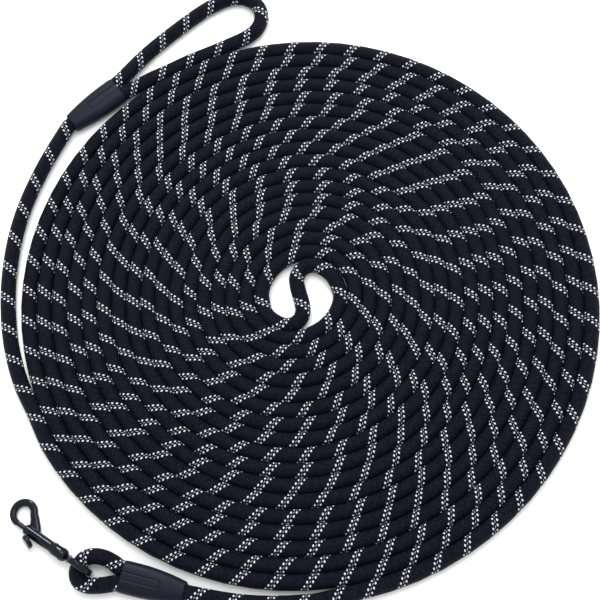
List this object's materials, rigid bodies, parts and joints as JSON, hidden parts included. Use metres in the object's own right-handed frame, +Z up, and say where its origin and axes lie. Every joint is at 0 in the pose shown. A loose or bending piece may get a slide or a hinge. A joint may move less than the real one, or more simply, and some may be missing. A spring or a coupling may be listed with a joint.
{
  "type": "training leash",
  "caption": "Long round braided rope leash in a flat double-spiral coil, with a sleeved hand loop and a swivel bolt snap.",
  "frame": {"origin": "on the ground under the middle of the coil's S, where the rope's two arms meet", "axes": "+Z up from the ground, the leash lies flat; +Y towards the side where the hand loop crosses the coil's edge, +X to its right seen from above"},
  "size_m": [0.4905, 0.5415, 0.0232],
  "materials": {
    "rope": "round braided polyester, matt",
    "rope_seal": "melted braid",
    "sleeve": "moulded, satin",
    "crimp": "plain",
    "hardware": "black electrophoretic coat on die-cast zinc, satin",
    "steel": "plain"
  },
  "bodies": {
    "leash": {"rope_coil": "rope", "rope_handle_lead": "rope", "rope_handle_loop": "rope", "rope_clip_lead": "rope", "rope_clip_loop": "rope", "handle_splice": "rope", "clip_splice": "rope", "handle_crimp": "crimp", "clip_crimp": "crimp", "handle_rope_seal": "rope_seal", "clip_rope_seal": "rope_seal", "handle_sleeve": "sleeve", "clip_sleeve": "sleeve"},
    "eye": {"swivel_eye": "hardware", "swivel_washer": "steel"},
    "snap": {"snap_body": "hardware", "spring_plug": "steel", "bolt_spring": "steel"},
    "bolt": {"sliding_bolt": "hardware", "thumb_knob": "hardware"}
  },
  "joints": [
    {"name": "eye_swing", "type": "hinge", "parent": "leash", "child": "eye", "pos_m": [-0.16368, -0.22157, 0.0102], "axis": [0.3243, 0.9459, 0], "range_deg": [0, 120]},
    {"name": "snap_swivel", "type": "hinge", "parent": "eye", "child": "snap", "pos_m": [-0.1636, -0.2216, 0.0116], "axis": [-0.8415, 0.5258, -0.1238], "continuous": true},
    {"name": "bolt_slide", "type": "slide", "parent": "snap", "child": "bolt", "axis": [0.8415, -0.5258, 0.1238], "range_m": [0, 0.0095], "stiffness_N_per_m": 400, "springref_m": -0.005, "deforming": ["bolt_spring"]}
  ]
}
